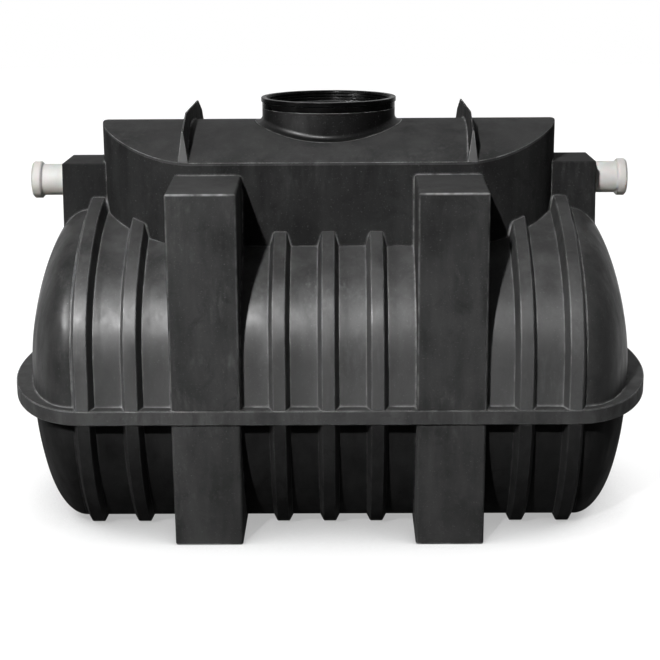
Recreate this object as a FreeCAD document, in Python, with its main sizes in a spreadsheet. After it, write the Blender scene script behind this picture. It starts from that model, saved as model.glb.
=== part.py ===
import FreeCAD, Part
import math
import os

import Sketcher
from FreeCAD import Placement, Rotation, Vector

# Horizontal septic tank of moulded polyethylene, in millimetres.
# The tank lies along X, its long front faces -Y, and Z is up from the ground, which is Z 0.
# Two half shells meet at a level flange. Hoops stiffen both halves, two saddles carry the tank, box columns
# rise from the flange to a vaulted turret, and the neck of the manhole stands on the turret.

SIZES = [
    ("wall", "8", "wall of every shell"),
    ("seat_gap", "0.3", "gap all round a pipe in its wall"),
    ("joint_height", "451", "plane where the two half shells meet"),
    ("hull_half_width", "604", "half width of the hull at the joint"),
    ("hull_half_straight", "840", "half length of the straight hull between its two ends"),
    ("end_depth", "219", "how far each domed end stands out beyond the straight hull"),
    ("end_fullness", "0.62", "how far a domed end fills its corner, where 0.707 makes an ellipse"),
    ("crest_height", "1058", "top of the hull's crown"),
    ("crown_radius", "735", "radius of the flat crown"),
    ("shoulder_radius", "360", "radius between the upright side and the crown"),
    ("belly_radius", "690", "radius of the lower side"),
    ("belly_drop", "4", "how far the lower side stays upright below the flange"),
    ("belly_draft", "8", "degrees by which the lower side leaves the upright below the flange"),
    ("belly_height", "28", "underside of the flat bottom"),
    ("belly_corner", "40", "radius between the lower side and the flat bottom"),
    ("flange_overhang", "44", "how far the flange stands out from the straight hull"),
    ("flange_depth", "50", "height of the flange"),
    ("flange_half_straight", "804", "half length of the flange's straight front"),
    ("flange_end", "315", "depth of the flange's rounded ends"),
    ("flange_chamfer", "3", "chamfer along the flange's edges"),
    ("rib_face", "45", "width of a hoop's outer face"),
    ("rib_base", "70", "width of a hoop at the hull"),
    ("rib_chamfer", "3", "chamfer along a hoop's outer edges"),
    ("rib_root", "6", "how deep a hoop's sides run on below the hull before they are trimmed to it"),
    ("rib_pitch", "160", "distance between neighbouring hoops"),
    ("rib_outer_place", "641", "X of the first hoop beyond the columns"),
    ("rib_setback", "4", "how far the lower hoops stay behind the flange's edge"),
    ("rib_belly_radius", "650", "radius of the lower hoops' side"),
    ("rib_belly_draft", "7.5", "degrees by which the lower hoops leave the upright"),
    ("rib_ground_gap", "4", "gap between the lower hoops and the ground"),
    ("rib_corner", "30", "radius between a lower hoop's side and its flat bottom"),
    ("column_place", "400", "X of a column's centre"),
    ("column_width", "227", "width of a column"),
    ("column_front_height", "128", "top of a column at its front, above the crown"),
    ("column_back_height", "144", "top of a column at the turret, above the crown"),
    ("column_round", "9", "radius of a column's edges"),
    ("saddle_width", "226", "width of a saddle"),
    ("saddle_setback", "8", "how far a saddle stays behind the flange's edge at the flange"),
    ("saddle_draft", "22", "how far a saddle's front leans back down to the ground"),
    ("saddle_round", "9", "radius of a saddle's edges"),
    ("turret_half_width", "360", "half width of the turret"),
    ("turret_half_straight", "445", "half length of the turret's straight front"),
    ("turret_end", "345", "depth of the turret's rounded ends"),
    ("vault_crest", "289", "top of the turret's vaulted roof, above the crown"),
    ("vault_radius", "682", "radius of the vault across the tank"),
    ("neck_radius", "232", "outer radius of the manhole's neck"),
    ("neck_wall", "18", "wall of the neck"),
    ("neck_flare", "18", "radius of the hollow curve between the neck and the vault"),
    ("neck_apron", "6", "flat of the vault that belongs to the neck, outside its flare"),
    ("neck_top", "45", "top of the neck, where the ring sits, above the vault"),
    ("ring_height", "36", "height of the ring"),
    ("ring_wall", "16", "wall of the ring below its lip"),
    ("ring_lip", "3.5", "how far the ring's lip stands out all round"),
    ("ring_lip_height", "14", "height of the ring's lip"),
    ("thread_depth", "3", "depth of the grooves inside the ring"),
    ("thread_pitch", "9", "pitch of the grooves inside the ring"),
    ("thread_turns", "3", "number of grooves inside the ring"),
    ("fin_place", "479", "X of a lifting fin"),
    ("fin_foot", "33", "thickness of a fin at the vault's lower edge"),
    ("fin_tip", "5", "thickness of a fin in its upper part"),
    ("fin_shoulder", "48", "from a fin's top down to where its thick foot ends"),
    ("fin_top", "48", "top of a fin above the vault"),
    ("fin_top_half_length", "217", "half length of a fin's level top"),
    ("housing_face", "925", "X of a pipe housing's outer face at its top"),
    ("housing_lean", "4", "how much further out the outer face stands at its foot"),
    ("housing_half_width", "117", "half width of a pipe housing"),
    ("housing_above", "72", "from a pipe's axis up to the top of its housing"),
    ("housing_foot", "108", "how far below the crown a pipe housing is modelled, hidden in the hull"),
    ("housing_round", "5", "radius of a housing's edges"),
    ("pipe_height", "82", "axis of the two pipes above the crown"),
    ("pipe_radius", "55", "outer radius of a pipe"),
    ("pipe_wall", "3.2", "wall of a pipe"),
    ("pipe_mouth", "1046", "X of a pipe's mouth"),
    ("pipe_inner_end", "860", "X of a pipe's inner end"),
    ("bead_radius", "65", "outer radius of the bead at a pipe's mouth"),
    ("bead_length", "35", "length of the bead"),
    ("socket_radius", "55.3", "bore of the bead, which takes the next pipe"),
    ("socket_depth", "31", "depth of the bead's bore"),
    ("bead_chamfer", "6", "chamfer on the bead's edges"),
]

doc = FreeCAD.newDocument("septic_tank")
sheet = doc.addObject("Spreadsheet::Sheet", "size")
for row, (alias, number, meaning) in enumerate(SIZES, start=1):
    sheet.set(f"A{row}", alias)
    sheet.set(f"B{row}", number)
    sheet.set(f"C{row}", meaning)
    sheet.setAlias(f"B{row}", alias)
doc.recompute()

RIGHT_ANGLE = 90
HALF_TURN = 180
FULL_TURN = 360
# weight of the middle pole that makes a rational quadratic curve a quarter of an ellipse
ELLIPSE_WEIGHT = math.sqrt(0.5)
# tools that cut are longer than what they cut by this much
CUT_MARGIN = 60
# two places are the same where they are nearer than this
TOUCH = 1
SIDES = {"left": -1, "right": 1}
FACES = {"front": 0, "back": HALF_TURN}


def size(alias):
    """Value of one cell of the sheet."""
    return float(getattr(sheet, alias))


def value(expression):
    """Value of an expression over the sheet's cells."""
    return float(sheet.evalExpression(expression))


# Outlines. An outline is a list of corners (across, up), each an expression over the sheet. A third entry,
# (turn, radius), makes the edge that leaves the corner an arc: turn 1 bends it to the left and -1 to the right.


def reverse(outline):
    """The same outline run the other way."""
    bends = [corner[2] if len(corner) == 3 else None for corner in outline]
    turned = []
    for index in range(len(outline) - 1, -1, -1):
        bend = bends[index - 1] if index > 0 else None
        corner = outline[index][:2]
        turned.append(corner + ((-bend[0], bend[1]),) if bend else corner)
    return turned


def arc_centre(start, end, turn, radius):
    """Centre of the short arc from start to end."""
    chord = end - start
    across = Vector(-chord.y, chord.x, 0) / chord.Length
    rise = math.sqrt(max(radius**2 - (chord.Length / 2) ** 2, 0))
    return (start + end) / 2 + across * rise * turn


def trace(outline):
    """Runs of an open outline: start, end and, on an arc, turn, radius and centre."""
    places = [Vector(value(corner[0]), value(corner[1]), 0) for corner in outline]
    runs = []
    for corner, start, end in zip(outline, places, places[1:]):
        if len(corner) == 3:
            turn, radius = corner[2][0], value(corner[2][1])
            runs.append((start, end, (turn, radius, arc_centre(start, end, turn, radius))))
        else:
            runs.append((start, end, None))
    return runs


def draw(sketch, outline):
    """Draw a closed outline in a sketch and tie every corner and radius to the sheet."""
    runs = trace(outline + [outline[0][:2]])
    ends = []
    for start, end, bend in runs:
        if bend is None:
            index = sketch.addGeometry(Part.LineSegment(start, end), False)
            ends.append((index, 1, 2))
            continue
        turn, radius, centre = bend
        first, last = (start, end) if turn > 0 else (end, start)
        circle = Part.Circle(centre, Vector(0, 0, 1), radius)
        angles = [math.atan2(place.y - centre.y, place.x - centre.x) for place in (first, last)]
        if angles[1] < angles[0]:
            angles[1] += math.tau
        index = sketch.addGeometry(Part.ArcOfCircle(circle, angles[0], angles[1]), False)
        ends.append((index, 1, 2) if turn > 0 else (index, 2, 1))
    for here, onward in zip(ends, ends[1:] + ends[:1]):
        sketch.addConstraint(Sketcher.Constraint("Coincident", here[0], here[2], onward[0], onward[1]))
    for corner, (index, begin, _), (start, _, bend) in zip(outline, ends, runs):
        for kind, expression, length in (("DistanceX", corner[0], start.x), ("DistanceY", corner[1], start.y)):
            bind(sketch, Sketcher.Constraint(kind, -1, 1, index, begin, length), expression)
        if bend is not None:
            bind(sketch, Sketcher.Constraint("Radius", index, bend[1]), corner[2][1])


def bind(sketch, constraint, expression):
    """Add a dimension to a sketch and tie it to an expression over the sheet."""
    number = sketch.addConstraint(constraint)
    sketch.setExpression(f"Constraints[{number}]", expression)


def lift(place, along):
    """Point of an outline across the tank, at this place along it."""
    return Vector(along, place.x, place.y)


def line(begin, end):
    """Straight edge from begin to end."""
    return Part.LineSegment(begin, end).toShape()


def edges_across(outline, along):
    """Edges of an open outline, in the plane across the tank at this X."""
    edges = []
    for start, end, bend in trace(outline):
        if bend is None:
            edges.append(line(lift(start, along), lift(end, along)))
            continue
        _, radius, centre = bend
        outward = (start + end) / 2 - centre
        middle = centre + outward.normalize() * radius
        edges.append(Part.Arc(lift(start, along), lift(middle, along), lift(end, along)).toShape())
    return edges


def wire_across(outline, along):
    """Closed wire of an outline across the tank, with its two ends joined by a line."""
    first = lift(Vector(value(outline[0][0]), value(outline[0][1]), 0), along)
    last = lift(Vector(value(outline[-1][0]), value(outline[-1][1]), 0), along)
    return Part.Wire(edges_across(outline, along) + [line(last, first)])


def arch(inset, foot):
    """Open outline of the upper half from its right foot over the crown, everywhere inside the hull by inset."""
    side = f"(size.hull_half_width - {inset})"
    shoulder = f"(size.shoulder_radius - {inset})"
    crown = f"(size.crown_radius - {inset})"
    spread = "(size.crown_radius - size.shoulder_radius)"
    lean = f"((size.hull_half_width - size.shoulder_radius) / {spread})"
    crown_centre = "(size.crest_height - size.crown_radius)"
    spring = f"({crown_centre} + {spread} * sqrt(1 - {lean}^2))"
    join_across = f"({crown} * {lean})"
    join_up = f"({crown_centre} + {crown} * sqrt(1 - {lean}^2))"
    return [
        (side, foot),
        (side, spring, (1, shoulder)),
        (join_across, join_up, (1, crown)),
        (f"-{join_across}", join_up, (1, shoulder)),
        (f"-{side}", spring),
        (f"-{side}", foot),
    ]


def tub(half_width, rim_level, radius, draft, bottom, corner, inset):
    """Open outline of a lower half from its right rim round the bottom, inside the given one by inset."""
    centre_across = f"({half_width} - {radius} * cos({draft}))"
    centre_up = f"({rim_level} + {radius} * sin({draft}))"
    side = f"({radius} - {inset})"
    reach = f"({radius} - {corner})"
    fall = f"({centre_up} - {bottom} - {corner})"
    run = f"sqrt({reach}^2 - {fall}^2)"
    rim = f"({centre_across} + sqrt({side}^2 - ({centre_up} - {rim_level})^2))"
    join_across = f"({centre_across} + {side} * {run} / {reach})"
    join_up = f"({centre_up} - {side} * {fall} / {reach})"
    flat = f"({centre_across} + {run})"
    floor = f"({bottom} + {inset})"
    rounding = f"({corner} - {inset})"
    return [
        (rim, rim_level, (-1, side)),
        (join_across, join_up, (-1, rounding)),
        (flat, floor),
        (f"-{flat}", floor, (-1, rounding)),
        (f"-{join_across}", join_up, (-1, side)),
        (f"-{rim}", rim_level),
    ]


def belly(inset):
    """Open outline of the hull's lower half, from where it leaves the upright below the flange."""
    rim_level = f"({FLANGE_UNDER} - size.belly_drop)"
    return tub("size.hull_half_width", rim_level, "size.belly_radius", "size.belly_draft", "size.belly_height",
               "size.belly_corner", inset)


def half_below(inset):
    """Open outline of the hull's lower half, from the joint."""
    outline = belly(inset)
    right = (outline[0][0], "size.joint_height")
    left = (outline[-1][0], "size.joint_height")
    return [right] + outline + [left]


# What stands on the hull has its heights from the crown, or from the vault above it.
PIPE_AXIS = "(size.crest_height + size.pipe_height)"
VAULT_TOP = "(size.crest_height + size.vault_crest)"
VAULT_AXIS = f"({VAULT_TOP} - size.vault_radius)"
NECK_TOP = f"({VAULT_TOP} + size.neck_top)"
FIN_TOP = f"({VAULT_TOP} + size.fin_top)"
FIN_SHOULDER = f"({FIN_TOP} - size.fin_shoulder)"
FLANGE_UNDER = "(size.joint_height - size.flange_depth / 2)"
FLANGE_TOP = "(size.joint_height + size.flange_depth / 2)"
RIB_REACH = "size.flange_overhang"
UPPER_OUTER = arch("0", "size.joint_height")
UPPER_INNER = arch("size.wall", "size.joint_height")
LOWER_OUTER = half_below("0")
LOWER_INNER = half_below("size.wall")


# Document helpers.


def new_sketch(body, name, role):
    """Sketch on one of the body's own origin planes."""
    sketch = body.newObject("Sketcher::SketchObject", name)
    plane = next(feature for feature in body.Origin.OriginFeatures if feature.Role == role)
    sketch.AttachmentSupport = [(plane, "")]
    sketch.MapMode = "FlatFace"
    return sketch


def pad_body(name, role, outline, length):
    """Body padded to both sides of one of its origin planes."""
    body = doc.addObject("PartDesign::Body", name)
    sketch = new_sketch(body, f"{name}_outline", role)
    draw(sketch, outline)
    pad = body.newObject("PartDesign::Pad", f"{name}_pad")
    pad.Profile = sketch
    pad.Midplane = True
    pad.setExpression("Length", length)
    doc.recompute()
    return body


def round_edges(body, radius, wanted):
    """Round the edges of a body for which wanted(edge) holds."""
    base = body.Tip
    names = [f"Edge{number}" for number, edge in enumerate(base.Shape.Edges, start=1) if wanted(edge)]
    fillet = body.newObject("PartDesign::Fillet", f"{body.Name}_round")
    fillet.Base = (base, names)
    fillet.setExpression("Radius", radius)
    doc.recompute()


def revolved_body(name, outline, axis):
    """Body turned from an outline in the XZ plane about one of the sketch's axes."""
    body = doc.addObject("PartDesign::Body", name)
    sketch = new_sketch(body, f"{name}_outline", "XZ_Plane")
    draw(sketch, outline)
    turn = body.newObject("PartDesign::Revolution", f"{name}_turn")
    turn.Profile = sketch
    turn.ReferenceAxis = (sketch, [axis])
    turn.Angle = FULL_TURN
    doc.recompute()
    return body


def feature(name, shape):
    """Document object that holds a shape made with Part's own functions."""
    holder = doc.addObject("Part::Feature", name)
    holder.Shape = shape
    return holder


def trimmed(name, base, *tools):
    """Base with the tools cut away, one after another."""
    for number, tool in enumerate(tools, start=1):
        cut = doc.addObject("Part::Cut", name if number == len(tools) else f"{name}_cut_{number}")
        cut.Base = base
        cut.Tool = tool
        base = cut
    doc.recompute()
    return base


def turned(angle):
    """Turn about the upright axis."""
    return Rotation(Vector(0, 0, 1), angle)


def placed_end(name, shape, side):
    """Holder of a piece modelled at the right end, turned round where it belongs at the left."""
    return feature(name, shape if side == "right" else shape.rotated(Vector(), Vector(0, 0, 1), HALF_TURN))


# Domed ends. Every point of the hull's section runs to the end's apex on one rounded curve.


def dome_rows(poles, weights, start, depth):
    """Pole rows that carry a section's poles to the apex at the joint's height."""
    pivot = size("joint_height")
    fullness = size("end_fullness")
    rows = []
    row_weights = []
    for reach, keep, weight in ((0, 1, 1), (1, 1, fullness), (1, 0, 1)):
        along = start + reach * depth
        rows.append([Vector(along, pole.x * keep, pivot + (pole.y - pivot) * keep) for pole in poles])
        row_weights.append([weight * each for each in weights])
    return rows, row_weights


def end_patch(run, start, depth):
    """Face swept from one run of the section to the apex."""
    first, last, bend = run
    if bend is None:
        poles, weights, knots, degree = [first, last], [1, 1], [2, 2], 1
    else:
        _, radius, centre = bend
        outward = (first + last) / 2 - centre
        half_cosine = outward.Length / radius
        corner = centre + outward.normalize() * (radius / half_cosine)
        poles, weights, knots, degree = [first, corner, last], [1, half_cosine, 1], [3, 3], 2
    rows, row_weights = dome_rows(poles, weights, start, depth)
    surface = Part.BSplineSurface()
    surface.buildFromPolesMultsKnots(rows, [3, 3], knots, [0, 1], [0, 1], False, False, 2, degree, row_weights)
    return surface.toShape()


def quarter(begin, corner, end, fullness=ELLIPSE_WEIGHT):
    """Rounded corner from begin to end, with its tangents meeting at corner."""
    curve = Part.BSplineCurve()
    curve.buildFromPolesMultsKnots([begin, corner, end], [3, 3], [0, 1], False, 2, [1, fullness, 1])
    return curve.toShape()


def solid_from(faces):
    """Solid closed by these faces."""
    skin = Part.makeCompound(faces)
    skin.sewShape()
    solid = Part.Solid(Part.Shell(skin.Faces))
    if solid.Volume < 0:
        solid.reverse()
    return solid


def joint_arc(outline, start, depth, side):
    """Edge of a domed end in the joint plane, from the section on one side to the apex."""
    level = size("joint_height")
    half = abs(value(outline[0][0])) * side
    tip = start + depth
    corner = Vector(tip, half, level)
    return quarter(Vector(start, half, level), corner, Vector(tip, 0, level), size("end_fullness"))


def end_shell(outer, inner, name, side):
    """Hollow half of a domed end between an outer and an inner outline."""
    start = size("hull_half_straight")
    depth = size("end_depth")
    faces = [end_patch(run, start, depth) for run in trace(outer)]
    faces += [end_patch(run, start, depth - size("wall")) for run in trace(inner)]
    rims = []
    for outline, reach in ((outer, depth), (inner, depth - size("wall"))):
        rims += [joint_arc(outline, start, reach, turn) for turn in (1, -1)]
    level = size("joint_height")
    feet = []
    for turn in (1, -1):
        feet.append(
            line(
                Vector(start, abs(value(outer[0][0])) * turn, level),
                Vector(start, abs(value(inner[0][0])) * turn, level),
            )
        )
    faces.append(Part.Face(Part.Wire(Part.__sortEdges__(rims + feet))))
    ring = edges_across(outer, start) + edges_across(inner, start) + feet
    faces.append(Part.Face(Part.Wire(Part.__sortEdges__(ring))))
    return placed_end(name, solid_from(faces), side)


def end_core(side):
    """Solid that fills the outside of a domed end."""
    start = size("hull_half_straight")
    depth = size("end_depth")
    runs = trace(UPPER_OUTER) + trace(LOWER_OUTER)
    faces = [end_patch(run, start, depth) for run in runs]
    ring = edges_across(UPPER_OUTER, start) + edges_across(LOWER_OUTER, start)
    faces.append(Part.Face(Part.Wire(Part.__sortEdges__(ring))))
    return placed_end(f"end_core_{side}", solid_from(faces), side)


def hull_core(name, half_length):
    """Solid that fills the outside of the straight hull."""
    ring = edges_across(UPPER_OUTER, -half_length) + edges_across(LOWER_OUTER, -half_length)
    section = Part.Face(Part.Wire(Part.__sortEdges__(ring)))
    return feature(name, section.extrude(Vector(2 * half_length, 0, 0)))


# Plans with a straight front and elliptical ends.


def plan_block(half_straight, end, half_width, bottom, top):
    """Upright block on such a plan."""
    tip = half_straight + end
    edges = []
    for along in (1, -1):
        for across in (1, -1):
            edges.append(
                quarter(
                    Vector(along * half_straight, across * half_width, bottom),
                    Vector(along * tip, across * half_width, bottom),
                    Vector(along * tip, 0, bottom),
                )
            )
    for across in (1, -1):
        edges.append(
            line(
                Vector(-half_straight, across * half_width, bottom),
                Vector(half_straight, across * half_width, bottom),
            )
        )
    return Part.Face(Part.Wire(Part.__sortEdges__(edges))).extrude(Vector(0, 0, top - bottom))


def make_flange(cores):
    """Level band round the hull where its two halves meet."""
    block = plan_block(
        size("flange_half_straight"),
        size("flange_end"),
        size("hull_half_width") + size("flange_overhang"),
        value(FLANGE_UNDER),
        value(FLANGE_TOP),
    )
    level_edges = [edge for edge in block.Edges if edge.BoundBox.ZLength < TOUCH]
    block = block.makeChamfer(size("flange_chamfer"), level_edges)
    filled = feature("hull_and_ends", cores[0].Shape.multiFuse([core.Shape for core in cores[1:]]))
    return trimmed("parting_flange", feature("flange_block", block), filled)


def make_hoop(name, outer, shoulder, root, along):
    """Hoop round one half of the hull: sides that spread from a chamfered outer face down to the hull."""
    half_face = size("rib_face") / 2
    spread = (size("rib_base") - size("rib_face")) / 2
    half_root = size("rib_base") / 2 + spread * size("rib_root") / size("flange_overhang")
    narrow = half_face - size("rib_chamfer")
    steps = ((root, -half_root), (shoulder, -half_face), (outer, -narrow))
    wires = [wire_across(outline, along + offset) for outline, offset in steps]
    wires += [wire_across(outline, along - offset) for outline, offset in reversed(steps)]
    return feature(name, Part.makeLoft(wires, True, True))


def rib_places():
    """X of every hoop, from left to right."""
    right = [size("rib_pitch"), size("rib_outer_place"), size("rib_outer_place") + size("rib_pitch")]
    return [-place for place in reversed(right)] + [0] + right


def lower_hoop_outline(inset):
    """Open outline of a lower hoop, inside its outer face by inset."""
    edge = "(size.hull_half_width + size.flange_overhang - size.rib_setback)"
    return tub(edge, FLANGE_UNDER, "size.rib_belly_radius", "size.rib_belly_draft", "size.rib_ground_gap",
               "size.rib_corner", inset)


def make_ribs(core, turret, housings):
    """Upper and lower hoops. The upper ones die into the turret and the pipe housings."""
    nodes = []
    upper = [arch(f"-{RIB_REACH}", FLANGE_TOP), arch(f"(size.rib_chamfer - {RIB_REACH})", FLANGE_TOP)]
    upper.append(arch("size.rib_root", FLANGE_TOP))
    lower = [lower_hoop_outline("0"), lower_hoop_outline("size.rib_chamfer"), belly("size.rib_root")]
    for number, along in enumerate(rib_places(), start=1):
        tools = [core, turret]
        if abs(along) > size("rib_outer_place"):
            tools.append(housings["right" if along > 0 else "left"])
        nodes.append(trimmed(f"upper_rib_{number}", make_hoop(f"upper_hoop_{number}", *upper, along), *tools))
        nodes.append(trimmed(f"lower_rib_{number}", make_hoop(f"lower_hoop_{number}", *lower, along), core))
    return nodes


def make_columns(core):
    """Four box columns from the flange up to the turret."""
    nodes = []
    front = "(size.hull_half_width + size.flange_overhang)"
    outline = [
        (f"-{front}", FLANGE_TOP),
        ("-size.turret_half_width", FLANGE_TOP),
        ("-size.turret_half_width", "(size.crest_height + size.column_back_height)"),
        (f"-{front}", "(size.crest_height + size.column_front_height)"),
    ]
    foot = value(FLANGE_TOP)
    back = -size("turret_half_width")

    def shows(edge):
        return edge.BoundBox.ZMax > foot + TOUCH and edge.BoundBox.YMin < back - TOUCH

    for face, angle in FACES.items():
        for side, along in SIDES.items():
            name = f"column_{face}_{side}"
            body = pad_body(f"{name}_box", "YZ_Plane", outline, "size.column_width")
            round_edges(body, "size.column_round", shows)
            body.Placement = Placement(Vector(along * size("column_place"), 0, 0), turned(angle))
            nodes.append(trimmed(name, body, core))
    return nodes


def make_saddles(core):
    """Two saddles across the tank, from the flange down to the ground."""
    nodes = []
    rim = "(size.hull_half_width + size.flange_overhang - size.saddle_setback)"
    toe = f"({rim} - size.saddle_draft)"
    outline = [(f"-{rim}", FLANGE_UNDER), (f"-{toe}", "0"), (toe, "0"), (rim, FLANGE_UNDER)]
    for side, along in SIDES.items():
        name = f"saddle_{side}"
        body = pad_body(f"{name}_block", "YZ_Plane", outline, "size.saddle_width")
        level = value(FLANGE_UNDER)
        round_edges(body, "size.saddle_round", lambda edge: edge.BoundBox.ZMin < level - TOUCH)
        body.Placement = Placement(Vector(along * size("column_place"), 0, 0), Rotation())
        nodes.append(trimmed(name, body, core))
    return nodes


def vault_cylinder(name, inset):
    """Cylinder along the tank whose top is the vault, or lies below it by inset."""
    cylinder = doc.addObject("Part::Cylinder", name)
    cylinder.setExpression("Radius", f"size.vault_radius - {inset}")
    cylinder.setExpression("Height", "2 * (size.turret_half_straight + size.turret_end + size.vault_radius)")
    doc.recompute()
    cylinder.Placement = Placement(
        Vector(-cylinder.Height.Value / 2, 0, value(VAULT_AXIS)),
        Rotation(Vector(0, 1, 0), RIGHT_ANGLE),
    )
    doc.recompute()
    return cylinder


def upright_cylinder(radius, bottom, top):
    """Cylinder about the tank's upright axis."""
    return Part.makeCylinder(radius, top - bottom, Vector(0, 0, bottom))


def make_roof_and_neck(block, vault, vault_inner):
    """Vaulted roof with the neck on it, blended by a hollow curve and parted outside that curve."""
    radius = size("neck_radius")
    top = value(NECK_TOP)
    low = size("crest_height")
    roof = block.Shape.common(vault.Shape).cut(vault_inner.Shape)
    post = upright_cylinder(radius, low, top).cut(vault_inner.Shape)
    blend = roof.fuse(post)
    axis_height = value(VAULT_AXIS)

    def is_foot(edge):
        place = edge.valueAt((edge.FirstParameter + edge.LastParameter) / 2)
        off_post = math.hypot(place.x, place.y) - radius
        off_vault = math.hypot(place.y, place.z - axis_height) - size("vault_radius")
        return abs(off_post) < TOUCH and abs(off_vault) < TOUCH

    blend = blend.makeFillet(size("neck_flare"), [edge for edge in blend.Edges if is_foot(edge)])
    blend = blend.cut(upright_cylinder(radius - size("neck_wall"), low, top + CUT_MARGIN))
    collar = upright_cylinder(radius + size("neck_flare") + size("neck_apron"), low, top + CUT_MARGIN)
    return feature("turret_roof", blend.cut(collar)), feature("manhole_neck", blend.common(collar))


def make_ring():
    """Ring round the manhole's mouth, with a lip outside and grooves inside."""
    bore = "(size.neck_radius - size.ring_wall)"
    top = f"({NECK_TOP} + size.ring_height)"
    lip = "(size.neck_radius + size.ring_lip)"
    under_lip = f"({top} - size.ring_lip_height)"
    outline = [
        (bore, NECK_TOP),
        ("size.neck_radius", NECK_TOP),
        ("size.neck_radius", f"({under_lip} - size.ring_lip)"),
        (lip, under_lip),
        (lip, f"({top} - size.ring_lip / 2)"),
        (f"({lip} - size.ring_lip / 2)", top),
        (f"({bore} + size.ring_lip)", top),
        (bore, f"({top} - size.ring_lip)"),
    ]
    groove = f"({bore} + size.thread_depth)"
    for number in range(1, int(size("thread_turns")) + 1):
        upper = f"({top} - {number} * size.thread_pitch)"
        outline += [
            (bore, upper),
            (groove, f"({upper} - size.thread_depth)"),
            (bore, f"({upper} - 2 * size.thread_depth)"),
        ]
    return revolved_body("rim_ring", outline, "V_Axis")


def make_fins(vault):
    """Two lifting fins over the vault, thick at the foot and thin above."""
    nodes = []
    half_foot = "(size.fin_foot / 2)"
    half_tip = "(size.fin_tip / 2)"
    edge_height = f"({VAULT_AXIS} + sqrt(size.vault_radius^2 - size.turret_half_width^2))"
    low = "size.crest_height"
    section = [
        (f"-{half_foot}", low),
        (half_foot, low),
        (half_foot, edge_height),
        (half_tip, FIN_SHOULDER),
        (half_tip, FIN_TOP),
        (f"-{half_tip}", FIN_TOP),
        (f"-{half_tip}", FIN_SHOULDER),
        (f"-{half_foot}", edge_height),
    ]
    for side, along in SIDES.items():
        name = f"lifting_fin_{side}"
        body = pad_body(f"{name}_plate", "XZ_Plane", section, "2 * size.turret_half_width")
        slope = new_sketch(body, f"{name}_slope", "YZ_Plane")
        for end in ("", "-"):
            beyond = f"{end}(size.turret_half_width + size.fin_foot)"
            draw(slope, [
                (f"{end}size.fin_top_half_length", FIN_TOP),
                (f"{end}size.turret_half_width", FIN_SHOULDER),
                (beyond, FIN_SHOULDER),
                (beyond, f"{FIN_TOP} + size.fin_foot"),
                (f"{end}size.fin_top_half_length", f"{FIN_TOP} + size.fin_foot"),
            ])
        pocket = body.newObject("PartDesign::Pocket", f"{name}_cut")
        pocket.Profile = slope
        pocket.Midplane = True
        pocket.Type = "ThroughAll"
        doc.recompute()
        body.Placement = Placement(Vector(along * size("fin_place"), 0, 0), Rotation())
        nodes.append(trimmed(name, body, vault))
    return nodes


def housing_box(name, side, inset):
    """Box of a pipe housing, or of the hollow in it, inside the outer one by inset."""
    top = f"({PIPE_AXIS} + size.housing_above - {inset})"
    face = f"(size.housing_face - {inset})"
    foot = "(size.crest_height - size.housing_foot)"
    inner = "size.rib_outer_place"
    outline = [(inner, foot), (f"({face} + size.housing_lean)", foot), (face, top), (inner, top)]
    body = pad_body(name, "XZ_Plane", outline, f"2 * (size.housing_half_width - {inset})")
    corner_across, corner_up = value(face), value(top)

    def shows(edge):
        ends = [vertex.Point for vertex in edge.Vertexes]
        return any(abs(end.x - corner_across) < TOUCH and abs(end.z - corner_up) < TOUCH for end in ends)

    if inset == "0":
        round_edges(body, "size.housing_round", shows)
    body.Placement = Placement(Vector(), turned(0 if side == "right" else HALF_TURN))
    return body


def make_pipe(name, side):
    """Pipe stub with a bead round its mouth, turned about the pipe's own axis."""
    bore = "(size.pipe_radius - size.pipe_wall)"
    bead_start = "(size.pipe_mouth - size.bead_length)"
    stop = "(size.pipe_mouth - size.socket_depth)"
    shoulder = "(size.bead_radius - size.bead_chamfer)"
    outline = [
        ("size.pipe_inner_end", bore),
        (stop, bore),
        (stop, "size.socket_radius"),
        ("size.pipe_mouth", "size.socket_radius"),
        ("size.pipe_mouth", shoulder),
        ("(size.pipe_mouth - size.bead_chamfer)", "size.bead_radius"),
        (f"({bead_start} + size.bead_chamfer)", "size.bead_radius"),
        (bead_start, shoulder),
        (bead_start, "size.pipe_radius"),
        ("size.pipe_inner_end", "size.pipe_radius"),
    ]
    body = revolved_body(name, outline, "H_Axis")
    turn = turned(0 if side == "right" else HALF_TURN)
    body.Placement = Placement(Vector(0, 0, value(PIPE_AXIS)), turn)
    return body


def pipe_hole(name):
    """Cylinder that opens the housings' outer walls for the pipes."""
    hole = doc.addObject("Part::Cylinder", name)
    hole.setExpression("Radius", "size.pipe_radius + size.seat_gap")
    hole.setExpression("Height", "2 * size.pipe_mouth")
    hole.Placement = Placement(
        Vector(-size("pipe_mouth"), 0, value(PIPE_AXIS)), Rotation(Vector(0, 1, 0), RIGHT_ANGLE)
    )
    doc.recompute()
    return hole


def make_straight_hull(turret_core, cavities):
    """Straight hull: the lower half, and the upper half's two flanks beside the turret and the housings."""
    length = "2 * size.hull_half_straight"
    nodes = [pad_body("lower_hull", "YZ_Plane", LOWER_OUTER + reverse(LOWER_INNER), length)]
    reach = size("hull_half_straight") + CUT_MARGIN
    width = size("hull_half_width") + CUT_MARGIN
    for face, angle in FACES.items():
        whole = pad_body(f"upper_arch_{face}", "YZ_Plane", UPPER_OUTER + reverse(UPPER_INNER), length)
        other = Part.makeBox(2 * reach, width, value(VAULT_TOP), Vector(-reach, 0, 0))
        half = feature(f"beyond_{face}", other.rotated(Vector(), Vector(0, 0, 1), angle))
        nodes.append(trimmed(f"upper_hull_{face}", whole, half, turret_core, *cavities))
    return nodes


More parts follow.
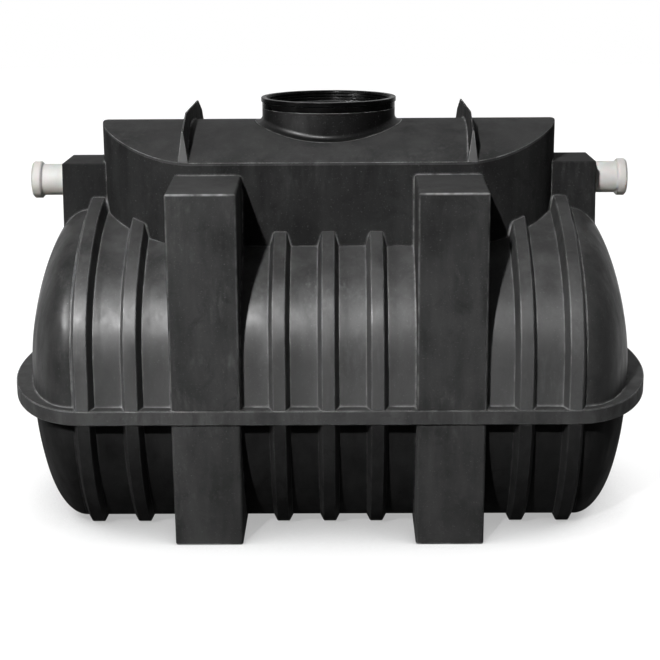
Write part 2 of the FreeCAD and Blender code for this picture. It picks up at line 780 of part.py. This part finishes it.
def build():
    """Every sub-part of the tank."""
    half = size("hull_half_straight")
    core = hull_core("hull_core", half)
    long_core = hull_core("long_hull_core", half + CUT_MARGIN)
    cores = {side: end_core(side) for side in SIDES}
    low = size("shoulder_radius") + size("joint_height")
    high = value(VAULT_TOP) + CUT_MARGIN
    wall = size("wall")
    straight, end, width = size("turret_half_straight"), size("turret_end"), size("turret_half_width")
    turret = feature("turret_block", plan_block(straight, end, width, low, high))
    turret_core = feature("turret_core", plan_block(straight, end - wall, width - wall, low, high))
    vault = vault_cylinder("vault", "0")
    vault_inner = vault_cylinder("vault_inner", "size.wall")
    housings = {side: housing_box(f"housing_block_{side}", side, "0") for side in SIDES}
    cavities = {side: housing_box(f"housing_cavity_{side}", side, "size.wall") for side in SIDES}
    hole = pipe_hole("pipe_hole")

    nodes = make_straight_hull(turret_core, list(cavities.values()))
    for side in SIDES:
        nodes.append(end_shell(LOWER_OUTER, LOWER_INNER, f"lower_end_{side}", side))
        whole = end_shell(UPPER_OUTER, UPPER_INNER, f"upper_end_{side}_whole", side)
        nodes.append(trimmed(f"upper_end_{side}", whole, cavities[side]))
    nodes.append(make_flange([core] + list(cores.values())))
    nodes += make_ribs(long_core, turret, housings)
    nodes += make_columns(long_core)
    nodes += make_saddles(long_core)
    shell = turret.Shape.cut(turret_core.Shape).common(vault_inner.Shape)
    nodes.append(trimmed("turret_wall", feature("turret_shell", shell), long_core, *cavities.values()))
    nodes += make_roof_and_neck(turret, vault, vault_inner)
    nodes.append(make_ring())
    nodes += make_fins(vault)
    for side, role in (("left", "inlet"), ("right", "outlet")):
        nodes.append(
            trimmed(f"{role}_housing", housings[side], turret, core, cores[side], cavities[side], hole)
        )
        nodes.append(make_pipe(f"{role}_pipe", side))
    return nodes


def check_and_write(nodes):
    """Stop on any failed object or bad shape, then write one STEP file for each sub-part."""
    doc.recompute()
    for item in doc.Objects:
        if {"Invalid", "Error"} & set(item.State):
            raise RuntimeError(f"{item.Name} failed: {item.State}")
    for node in nodes:
        if node.Shape.isNull() or not node.Shape.isValid() or node.Shape.Volume <= 0:
            raise RuntimeError(f"{node.Name} has a bad shape")
    os.makedirs("parts", exist_ok=True)
    for node in nodes:
        node.Label = node.Name
        node.Shape.exportStep(f"parts/{node.Name}.step")
        print(node.Name, len(node.Shape.Solids), round(node.Shape.Volume / 1000))


check_and_write(build())
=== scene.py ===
import math

import bpy
from mathutils import Matrix, Vector


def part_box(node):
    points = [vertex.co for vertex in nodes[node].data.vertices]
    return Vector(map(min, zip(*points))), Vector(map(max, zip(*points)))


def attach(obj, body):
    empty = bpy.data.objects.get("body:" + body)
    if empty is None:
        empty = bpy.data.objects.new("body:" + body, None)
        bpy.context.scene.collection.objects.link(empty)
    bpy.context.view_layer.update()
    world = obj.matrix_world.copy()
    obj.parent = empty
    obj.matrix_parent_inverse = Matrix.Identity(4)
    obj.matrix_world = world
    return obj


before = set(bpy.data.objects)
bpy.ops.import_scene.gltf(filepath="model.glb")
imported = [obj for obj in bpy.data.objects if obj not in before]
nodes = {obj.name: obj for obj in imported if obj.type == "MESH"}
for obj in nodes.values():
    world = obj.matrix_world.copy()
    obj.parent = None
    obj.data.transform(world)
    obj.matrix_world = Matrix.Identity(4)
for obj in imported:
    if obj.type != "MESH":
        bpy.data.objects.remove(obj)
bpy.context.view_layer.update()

# Camera, fitted to the photograph.
CAMERA_PLACE = Vector((0.055, -5.46, 1.945))
CAMERA_AIM = Vector((0.0, 0.0, 0.5848))
CAMERA_ROLL = -0.0065
CAMERA_LENS = 84.55
SENSOR_WIDTH = 36.0
CLIP_END = 100.0


def facing_from(place, aim_at):
    """Matrix of a camera or lamp at place that faces aim_at."""
    turn = (aim_at - place).to_track_quat("-Z", "Y").to_matrix().to_4x4()
    return Matrix.Translation(place) @ turn


camera_data = bpy.data.cameras.new("camera")
camera_data.lens = CAMERA_LENS
camera_data.sensor_fit = "HORIZONTAL"
camera_data.sensor_width = SENSOR_WIDTH
camera_data.clip_end = CLIP_END
camera = bpy.data.objects.new("camera", camera_data)
bpy.context.scene.collection.objects.link(camera)
roll = Matrix.Rotation(CAMERA_ROLL, 4, "Z")
camera.matrix_world = facing_from(CAMERA_PLACE, CAMERA_AIM) @ roll
bpy.context.scene.camera = camera
bpy.context.scene.view_settings.view_transform = "Standard"


class Graph:
    """Node tree of one material, with short calls for the nodes used here."""

    def __init__(self, name):
        self.material = bpy.data.materials.new(name)
        self.material.use_nodes = True
        self.start(self.material.node_tree, "ShaderNodeOutputMaterial")

    @classmethod
    def of_tree(cls, tree, output):
        """Graph over a tree that isn't a material's."""
        graph = cls.__new__(cls)
        graph.material = None
        graph.start(tree, output)
        return graph

    def start(self, tree, output):
        self.tree = tree
        self.tree.nodes.clear()
        self.output = self.add(output)

    def add(self, kind, inputs=None, **settings):
        """New node, with its inputs fed by name or number and its settings made."""
        node = self.tree.nodes.new(kind)
        for key, value in settings.items():
            setattr(node, key, value)
        for key, value in (inputs or {}).items():
            self.feed(node.inputs[key], value)
        return node

    def feed(self, socket, value):
        """Link the socket to another node's output, or write a plain value on it."""
        if isinstance(value, bpy.types.NodeSocket):
            self.tree.links.new(value, socket)
        else:
            socket.default_value = value

    def places(self, scale=(1, 1, 1)):
        """Places on the object in metres, stretched by scale."""
        source = self.add("ShaderNodeTexCoord").outputs["Object"]
        return self.add("ShaderNodeMapping", {"Vector": source, "Scale": scale}).outputs[0]

    def noise(self, scale, detail=4.0, roughness=0.5, stretch=(1, 1, 1), distortion=0.0):
        inputs = {
            "Vector": self.places(stretch),
            "Scale": scale,
            "Detail": detail,
            "Roughness": roughness,
            "Distortion": distortion,
        }
        return self.add("ShaderNodeTexNoise", inputs).outputs["Fac"]

    def span(self, source, low, high, out_low=0.0, out_high=1.0):
        """Source stretched from low..high to out_low..out_high, and held there."""
        names = ("Value", "From Min", "From Max", "To Min", "To Max")
        inputs = dict(zip(names, (source, low, high, out_low, out_high)))
        return self.add("ShaderNodeMapRange", inputs, clamp=True).outputs["Result"]

    def marks(self, low, high, scale, **settings):
        """Noise as a mask: 0 where it is under low, 1 where it is over high."""
        return self.span(self.noise(scale, **settings), low, high)

    def math(self, operation, first, second=0.0):
        node = self.add("ShaderNodeMath", operation=operation)
        self.feed(node.inputs[0], first)
        self.feed(node.inputs[1], second)
        return node.outputs[0]

    def vector(self, operation, first, second):
        """Vector math node, whose outputs are a vector and a value."""
        return self.add("ShaderNodeVectorMath", {0: first, 1: second}, operation=operation)

    def axes(self, source):
        """Outputs X, Y and Z of a vector."""
        return self.add("ShaderNodeSeparateXYZ", {0: source}).outputs

    def mix(self, factor, first, second):
        node = self.add("ShaderNodeMix", data_type="RGBA")
        self.feed(node.inputs["Factor"], factor)
        self.feed(node.inputs["A"], first)
        self.feed(node.inputs["B"], second)
        return node.outputs["Result"]

    def overlay(self, colour, mask, strength, tone):
        """Colour with tone laid over it where the mask is, at the given strength."""
        return self.mix(self.math("MULTIPLY", mask, strength), colour, tone)

    def normal(self):
        return self.add("ShaderNodeNewGeometry").outputs["Normal"]

    def rounded(self, radius, samples):
        """Normal that rounds the edges."""
        return self.add("ShaderNodeBevel", {"Radius": radius}, samples=samples).outputs[0]

    def edges(self, rounded, flat, sharpest):
        """1 where the rounded normal leaves the flat one, which is along edges."""
        dot = self.vector("DOT_PRODUCT", rounded, flat).outputs["Value"]
        return self.span(dot, EDGE_START, sharpest)

    def bump(self, height, strength, distance, normal):
        inputs = {"Height": height, "Strength": strength, "Distance": distance, "Normal": normal}
        return self.add("ShaderNodeBump", inputs).outputs[0]

    def plastic(self, colour, roughness, gloss_level, normal, **more):
        """The material, as plastic. More is written on the shader's other inputs."""
        inputs = {
            "Base Color": colour,
            "Roughness": roughness,
            "IOR": PLASTIC_IOR,
            "Specular IOR Level": gloss_level,
            "Normal": normal,
        }
        inputs.update(more)
        return self.finish(self.add("ShaderNodeBsdfPrincipled", inputs).outputs[0])

    def finish(self, shader):
        self.tree.links.new(shader, self.output.inputs["Surface"])
        return self.material


def grey(value):
    return (value, value, value, 1.0)


WHITE = grey(1.0)
PLASTIC_IOR = 1.5

# Edges: where they start to show, by the cosine between the rounded and the flat normal, the
# rounding of each plastic, and the rays that look for it.
EDGE_START = 0.99
SHELL_EDGE = 0.0045
RING_EDGE = 0.0015
PIPE_EDGE = 0.007
EDGE_SAMPLES = 4
PIPE_EDGE_SAMPLES = 6

# Half width of the band along a hidden seam in which edges aren't rounded, and the reach and
# rays of the painted highlight in inner corners.
SEAM_HALF_WIDTH = 0.005
CORNER_REACH = 0.012
CORNER_SAMPLES = 6

# The columns' places along the tank, half widths, depth from the middle, height in front and
# rounding, the share of the rounding at which the edges' wear and painted highlight are full,
# and their share on upright edges.
COLUMN_PLACE = 0.4
COLUMN_HALF = 0.1135
COLUMN_DEPTH = 0.648
COLUMN_TOP = 1.1865
COLUMN_ROUNDING = 0.008
FULL_WEAR_AND_HIGHLIGHT = 0.4
UPRIGHT_WEAR_AND_HIGHLIGHT = 0.3

# Heights between which painted light brightens the hull towards its foot.
FOOT_LIGHT_START = 0.95
FOOT_LIGHT_FULL = 0.55

# How far the roughness strays to either side of the one given.
ROUGHNESS_SPREAD = 0.12


def near(g, source, limit):
    """1 within a column's rounding of the limit, and 0 below that."""
    return g.span(source, limit - COLUMN_ROUNDING, limit - FULL_WEAR_AND_HIGHLIGHT * COLUMN_ROUNDING)


def mottled(g, clouds, tone):
    """Cloudy black with upright streaks and darker smudges."""
    streaks = g.marks(0.42, 0.68, 11.0, roughness=0.6, stretch=(1.0, 1.0, 0.22))
    smudges = g.marks(0.55, 0.8, 9.0, detail=6.0, roughness=0.7, distortion=1.2)
    colour = g.mix(clouds, grey(tone * 0.5), grey(tone * 1.4))
    colour = g.overlay(colour, streaks, 0.6, grey(tone * 1.9))
    return g.overlay(colour, smudges, 0.7, grey(tone * 0.45))


def scuffed(g, colour, scuffing, wear_and_highlight_tone):
    """Colour with patches of upright scuffs and a fine speckle."""
    patches = g.marks(0.52, 0.7, 5.0, detail=6.0, roughness=0.7, distortion=0.6)
    rubbed = g.marks(0.45, 0.7, 70.0, stretch=(1.0, 1.0, 0.2))
    scuffs = g.math("MULTIPLY", patches, rubbed)
    speckle = g.marks(0.62, 0.78, 170.0, detail=3.0, roughness=0.7)
    colour = g.overlay(colour, scuffs, scuffing, grey(wear_and_highlight_tone * 0.5))
    return g.overlay(colour, speckle, 0.25, grey(wear_and_highlight_tone))


def off_seam(g, rounded, flat, seam):
    """Rounded normal, but the flat one along the seam's level cylinder."""
    height, radius = seam
    source = g.add("ShaderNodeTexCoord").outputs["Object"]
    across = g.vector("MULTIPLY", source, (0.0, 1.0, 1.0)).outputs[0]
    distance = g.vector("DISTANCE", across, (0.0, 0.0, height)).outputs["Value"]
    away = g.math("ABSOLUTE", g.math("SUBTRACT", distance, radius))
    keep = g.add("ShaderNodeMix", data_type="VECTOR")
    g.feed(keep.inputs["Factor"], g.math("LESS_THAN", away, SEAM_HALF_WIDTH))
    g.feed(keep.inputs[4], rounded)
    g.feed(keep.inputs[5], flat)
    return keep.outputs[1]


def column_wear_and_highlight(g):
    """Mask of the columns' edges, lighter by wear and by painted highlight: the front and back
    ones, and the upright ones less.
    """
    place = g.axes(g.places())
    depth = g.math("ABSOLUTE", place["Y"])
    aside = g.math("SUBTRACT", g.math("ABSOLUTE", place["X"]), COLUMN_PLACE)
    upright = near(g, g.math("ABSOLUTE", aside), COLUMN_HALF)
    upright = g.math("MULTIPLY", upright, UPRIGHT_WEAR_AND_HIGHLIGHT)
    corner = g.math("MAXIMUM", upright, near(g, place["Z"], COLUMN_TOP))
    return g.math("MULTIPLY", corner, near(g, depth, COLUMN_DEPTH))


def moulded(name, tone, wear_and_highlight_tone, roughness, gloss_level, scuffing, dust_tone=0.05,
            painted_foot_light_gain=1.0, seam=None, painted_end_highlight=None, post=False):
    """Rotation-moulded black polyethylene: cloudy, streaked and scuffed, with lighter edges that
    are partly wear and partly painted highlight, and painted highlight in its inner corners.

    painted_foot_light_gain is painted light: it brightens the foot of the upper half, above the
    flange, against its crown. Where seam is given, it is the (height, radius) of a level
    cylinder along the tank whose line doesn't show. painted_end_highlight is a painted highlight
    on faces towards the front and back, which lightens a thin plate's ends. post is for the
    columns, whose rounded edges are lighter, partly by wear and partly by painted highlight.
    """
    g = Graph(name)
    flat = g.normal()
    facing = g.axes(flat)
    clouds = g.marks(0.3, 0.7, 3.2, detail=5.0, roughness=0.6)
    colour = mottled(g, clouds, tone)
    # Painted light: the foot of the upper half is brightened against its crown.
    if painted_foot_light_gain != 1.0:
        foot_light_mask = g.span(g.axes(g.places())["Z"], FOOT_LIGHT_START, FOOT_LIGHT_FULL)
        colour = g.overlay(colour, foot_light_mask, 1.0 - 1.0 / painted_foot_light_gain, grey(tone * painted_foot_light_gain))
    colour = scuffed(g, colour, scuffing, wear_and_highlight_tone)
    # Painted highlight on faces towards the front and back, lightening a thin plate's ends.
    if painted_end_highlight is not None:
        ends = g.span(g.math("ABSOLUTE", facing["Y"]), 0.75, 0.9)
        colour = g.overlay(colour, ends, g.span(clouds, 0.0, 1.0, 0.7, 1.0), grey(painted_end_highlight))
    level = g.span(facing["Z"], 0.8, 1.0)
    colour = g.overlay(colour, level, g.span(clouds, 0.0, 1.0, 0.4, 0.9), grey(dust_tone))

    rounded = g.rounded(SHELL_EDGE, EDGE_SAMPLES)
    if seam is not None:
        rounded = off_seam(g, rounded, flat, seam)
    # Lighter lines along the rounded edges and the columns' edges: partly wear, partly painted
    # highlight where light would catch the rounding.
    wear_and_highlight_strength = g.span(g.noise(22.0), 0.38, 0.6, 0.25, 1.0)
    colour = g.overlay(colour, g.edges(rounded, flat, 0.82), wear_and_highlight_strength, grey(wear_and_highlight_tone))
    if post:
        colour = g.overlay(colour, column_wear_and_highlight(g), wear_and_highlight_strength, grey(wear_and_highlight_tone))
    # Painted highlight: inner corners are lightened where a fillet would catch the light.
    reach = {"Distance": CORNER_REACH}
    closeness = g.add("ShaderNodeAmbientOcclusion", reach, samples=CORNER_SAMPLES).outputs["AO"]
    colour = g.overlay(colour, g.span(closeness, 0.74, 0.55), wear_and_highlight_strength, grey(wear_and_highlight_tone))

    ripple = g.bump(g.noise(6.0, detail=2.0), 0.35, 0.008, rounded)
    grain = g.bump(g.noise(420.0, detail=2.0), 0.25, 0.0004, ripple)
    gloss = g.noise(12.0, detail=6.0, roughness=0.7, stretch=(1.0, 1.0, 0.35))
    smoothest = roughness - ROUGHNESS_SPREAD
    roughest = min(roughness + ROUGHNESS_SPREAD, 1.0)
    return g.plastic(colour, g.span(gloss, 0.35, 0.65, smoothest, roughest), gloss_level, grain)


def jet(name):
    """Smooth jet-black ring, glossier than the shell, with faint handling marks, and lighter lines
    along its edges that are partly wear and partly painted highlight.
    """
    g = Graph(name)
    colour = g.mix(g.marks(0.45, 0.75, 40.0, detail=5.0, roughness=0.6), grey(0.0008), grey(0.003))
    rounded = g.rounded(RING_EDGE, EDGE_SAMPLES)
    # Lighter line along the ring's rounded edges: partly wear, partly painted highlight.
    colour = g.overlay(colour, g.edges(rounded, g.normal(), 0.85), 0.6, grey(0.09))
    roughness = g.span(g.noise(18.0), 0.3, 0.7, 0.2, 0.36)
    grain = g.bump(g.noise(250.0), 0.15, 0.0003, rounded)
    return g.plastic(colour, roughness, 0.015, grain)


def pipe_plastic(name):
    """Off-white extruded PVC with faint lengthwise lines, a warm stain on its underside that is
    painted as light as the top to stand in for fill light there, and a little dust.
    """
    clean = (0.68, 0.67, 0.65, 1.0)
    dusty = (0.62, 0.6, 0.57, 1.0)
    drawn = (0.6, 0.57, 0.52, 1.0)
    stain_with_painted_fill = (0.72, 0.67, 0.59, 1.0)
    specked = (0.3, 0.27, 0.23, 1.0)
    g = Graph(name)
    dust = g.marks(0.4, 0.75, 14.0, detail=5.0, roughness=0.6)
    lines = g.marks(0.4, 0.7, 60.0, detail=3.0, stretch=(0.05, 1.0, 1.0))
    specks = g.marks(0.74, 0.78, 110.0, detail=2.0)
    under = g.span(g.axes(g.normal())["Z"], -0.1, -0.9)
    colour = g.mix(dust, clean, dusty)
    colour = g.overlay(colour, lines, 0.15, drawn)
    # Painted fill light: the underside's warm stain is kept as light as the top, against the shade
    # there.
    colour = g.overlay(colour, under, g.span(dust, 0.0, 1.0, 0.5, 0.8), stain_with_painted_fill)
    colour = g.overlay(colour, specks, 0.6, specked)
    roughness = g.span(dust, 0.0, 1.0, 0.45, 0.6)
    grain = g.bump(g.noise(200.0), 0.1, 0.0003, g.rounded(PIPE_EDGE, PIPE_EDGE_SAMPLES))
    scatter = {"Subsurface Weight": 0.05, "Subsurface Scale": 0.01}
    return g.plastic(colour, roughness, 0.04, grain, **scatter)


# The roof lies on the turret's wall along the underside of the vault, and the two are one
# moulding to the eye.
ROOF_SEAM = (0.665, 0.674)

hull_black = moulded(
    "hull_black", tone=0.042, wear_and_highlight_tone=0.27, roughness=0.46, gloss_level=0.045, scuffing=0.4,
    painted_foot_light_gain=2.0)
end_black = moulded(
    "end_black", tone=0.036, wear_and_highlight_tone=0.25, roughness=0.42, gloss_level=0.022, scuffing=0.4,
    painted_foot_light_gain=1.3)
# Painted shade: the lower half is the upper half's plastic, darkened for the shade under the
# flange.
shaded_belly_black = moulded(
    "shaded_belly_black", tone=0.012, wear_and_highlight_tone=0.06, roughness=0.7, gloss_level=0.008, scuffing=0.2)
shaded_belly_rib_black = moulded(
    "shaded_belly_rib_black", tone=0.016, wear_and_highlight_tone=0.08, roughness=0.7, gloss_level=0.008,
    scuffing=0.2)
post_black = moulded(
    "post_black", tone=0.033, wear_and_highlight_tone=0.32, roughness=0.85, gloss_level=0.01, scuffing=0.3,
    dust_tone=0.06, post=True)
band_black = moulded(
    "band_black", tone=0.043, wear_and_highlight_tone=0.32, roughness=0.6, gloss_level=0.02, scuffing=0.4)
turret_black = moulded(
    "turret_black", tone=0.018, wear_and_highlight_tone=0.3, roughness=0.9, gloss_level=0.008, scuffing=0.15,
    seam=ROOF_SEAM)
roof_black = moulded(
    "roof_black", tone=0.04, wear_and_highlight_tone=0.38, roughness=0.8, gloss_level=0.01, scuffing=0.2,
    dust_tone=0.042, seam=ROOF_SEAM)
neck_black = moulded(
    "neck_black", tone=0.005, wear_and_highlight_tone=0.25, roughness=0.42, gloss_level=0.025, scuffing=0.0,
    dust_tone=0.01)
box_black = moulded(
    "box_black", tone=0.017, wear_and_highlight_tone=0.3, roughness=0.9, gloss_level=0.008, scuffing=0.15)
fin_black = moulded(
    "fin_black", tone=0.018, wear_and_highlight_tone=0.4, roughness=0.8, gloss_level=0.01, scuffing=0.1,
    painted_end_highlight=0.15)
ring_black = jet("ring_black")
pipe_white = pipe_plastic("pipe_white")

# Material of each CAD node, by the start of its name.
FINISHES = {
    "upper_end": end_black,
    "lower_hull": shaded_belly_black,
    "lower_end": shaded_belly_black,
    "lower_rib": shaded_belly_rib_black,
    "parting_flange": band_black,
    "column": post_black,
    "saddle": post_black,
    "turret_wall": turret_black,
    "turret_roof": roof_black,
    "manhole_neck": neck_black,
    "rim_ring": ring_black,
    "lifting_fin": fin_black,
    "inlet_pipe": pipe_white,
    "outlet_pipe": pipe_white,
    "inlet_housing": box_black,
    "outlet_housing": box_black,
    "upper_hull": hull_black,
    "upper_rib": hull_black,
}

for name, node in nodes.items():
    finish = next(finish for start, finish in FINISHES.items() if name.startswith(start))
    node.data.materials.clear()
    node.data.materials.append(finish)


# Thread inside the ring's mouth: a thin sleeve with a wavy bore, sunk into the ring's own bore.
THREAD_TURNS = 3
THREAD_DEPTH = 0.003
THREAD_STEPS = 10
THREAD_SINK = 0.001
THREAD_MARGIN = 0.003
ROUND_STEPS = 128


def thread_profile(bore, foot, top):
    """Section of the sleeve, as (radius, height): down its straight back, then up its waves."""
    valley = bore + THREAD_SINK
    back = bore + 2 * THREAD_SINK
    rows = THREAD_TURNS * THREAD_STEPS
    profile = [(back, top), (back, foot)]
    for row in range(rows + 1):
        wave = 0.5 - 0.5 * math.cos(2 * math.pi * row / THREAD_STEPS)
        radius = valley - (THREAD_DEPTH + THREAD_SINK) * wave
        profile.append((radius, foot + (top - foot) * row / rows))
    return profile


def turned_mesh(name, profile, middle_x, middle_y):
    """Closed mesh of the profile turned about an upright axis."""
    size = len(profile)
    points = []
    faces = []
    for step in range(ROUND_STEPS):
        turn = 2 * math.pi * step / ROUND_STEPS
        across, along = math.cos(turn), math.sin(turn)
        points += [(middle_x + r * across, middle_y + r * along, z) for r, z in profile]
        here = step * size
        there = (step + 1) % ROUND_STEPS * size
        for row in range(size):
            after = (row + 1) % size
            faces.append((here + row, here + after, there + after, there + row))
    mesh = bpy.data.meshes.new(name)
    mesh.from_pydata(points, [], faces)
    mesh.polygons.foreach_set("use_smooth", [True] * len(faces))
    return mesh


ring_low, ring_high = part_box("rim_ring")
ring_x = (ring_low[0] + ring_high[0]) / 2
ring_y = (ring_low[1] + ring_high[1]) / 2
ring_points = nodes["rim_ring"].data.vertices
bore = min(math.hypot(v.co.x - ring_x, v.co.y - ring_y) for v in ring_points)
profile = thread_profile(bore, ring_low[2] + THREAD_MARGIN, ring_high[2] - THREAD_MARGIN)
thread_mesh = turned_mesh("rim_thread", profile, ring_x, ring_y)
thread_mesh.materials.append(ring_black)
thread = bpy.data.objects.new("rim_thread", thread_mesh)
bpy.context.scene.collection.objects.link(thread)
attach(thread, "root")


# Studio: the key, three weaker lamps round the tank, and two lamps that only make highlights.
# The back and right lamps make none, because they would glare on the roof.
MIDDLE = Vector((0.0, 0.0, 0.7))
KEY_PLACE = Vector((-3.4, -10.7, 9.2))
BACK_PLACE = Vector((0.8, 9.5, 6.0))
LEFT_PLACE = Vector((-5.6, -2.0, 3.4))
RIGHT_PLACE = Vector((5.0, 4.0, 2.6))
LEFT_SHEEN_PLACE = Vector((-4.9, -3.9, 4.1))
SMALL = (0.5, 0.5)
LARGE = (2.0, 2.0)
TALL = (1.0, 1.6)


def area_light(name, place, size, power, diffuse=True, glossy=True):
    """Rectangular lamp that faces the tank's middle."""
    data = bpy.data.lights.new(name, "AREA")
    data.shape = "RECTANGLE"
    data.size, data.size_y = size
    data.energy = power
    lamp = bpy.data.objects.new(name, data)
    lamp.matrix_world = facing_from(place, MIDDLE)
    lamp.visible_diffuse = diffuse
    lamp.visible_glossy = glossy
    bpy.context.scene.collection.objects.link(lamp)


area_light("key", KEY_PLACE, SMALL, 1950)
area_light("back", BACK_PLACE, LARGE, 420, glossy=False)
area_light("left", LEFT_PLACE, TALL, 12)
area_light("right", RIGHT_PLACE, TALL, 15, glossy=False)
area_light("key_sheen", KEY_PLACE, SMALL, 23000, diffuse=False)
area_light("left_sheen", LEFT_SHEEN_PLACE, SMALL, 9000, diffuse=False)


def background_rays(g):
    """1 for the rays that see the pale background: from the camera, mirrored or passed on."""
    paths = g.add("ShaderNodeLightPath").outputs
    seen = g.math("MAXIMUM", paths["Is Camera Ray"], paths["Is Glossy Ray"])
    return g.math("MAXIMUM", seen, paths["Is Transmission Ray"])


def chosen(g, others, background):
    """Shader background for the background's rays, and others for the rest."""
    inputs = {0: background_rays(g), 1: others.outputs[0], 2: background.outputs[0]}
    return g.finish(g.add("ShaderNodeMixShader", inputs).outputs[0])


WORLD_FILL = 0.02

world = bpy.data.worlds.new("studio")
bpy.context.scene.world = world
world.use_nodes = True
g = Graph.of_tree(world.node_tree, "ShaderNodeOutputWorld")
white = g.add("ShaderNodeBackground", {"Color": WHITE, "Strength": 1.0})
fill = g.add("ShaderNodeBackground", {"Color": WHITE, "Strength": WORLD_FILL})
chosen(g, fill, white)

# The floor: white by its own glow, which weakens where the tank closes off the sky, so that it
# keeps a soft contact shadow. The lamps' shadow shows in its dim diffuse part.
FLOOR_HALF = 20.0
FLOOR_TONE = grey(0.12)
SKY_REACH = 0.8
SKY_SAMPLES = 8
CLOSED_SKY = 0.2
OPEN_SKY = 0.616
CLOSED_GLOW = 0.4
OPEN_GLOW = 1.0

floor_mesh = bpy.data.meshes.new("floor")
signs = ((-1, -1), (1, -1), (1, 1), (-1, 1))
corners = [(x * FLOOR_HALF, y * FLOOR_HALF, 0) for x, y in signs]
floor_mesh.from_pydata(corners, [], [(0, 1, 2, 3)])
floor = bpy.data.objects.new("floor", floor_mesh)
bpy.context.scene.collection.objects.link(floor)
g = Graph("floor_white")
lit = g.add("ShaderNodeBsdfDiffuse", {"Color": FLOOR_TONE})
sky_reach = {"Distance": SKY_REACH}
sky = g.add("ShaderNodeAmbientOcclusion", sky_reach, samples=SKY_SAMPLES).outputs["AO"]
strength = g.span(sky, CLOSED_SKY, OPEN_SKY, CLOSED_GLOW, OPEN_GLOW)
glow = g.add("ShaderNodeEmission", {"Color": WHITE, "Strength": strength})
both = g.add("ShaderNodeAddShader", {0: lit.outputs[0], 1: glow.outputs[0]})
dim = g.add("ShaderNodeBsdfDiffuse", {"Color": FLOOR_TONE})
floor_mesh.materials.append(chosen(g, dim, both))
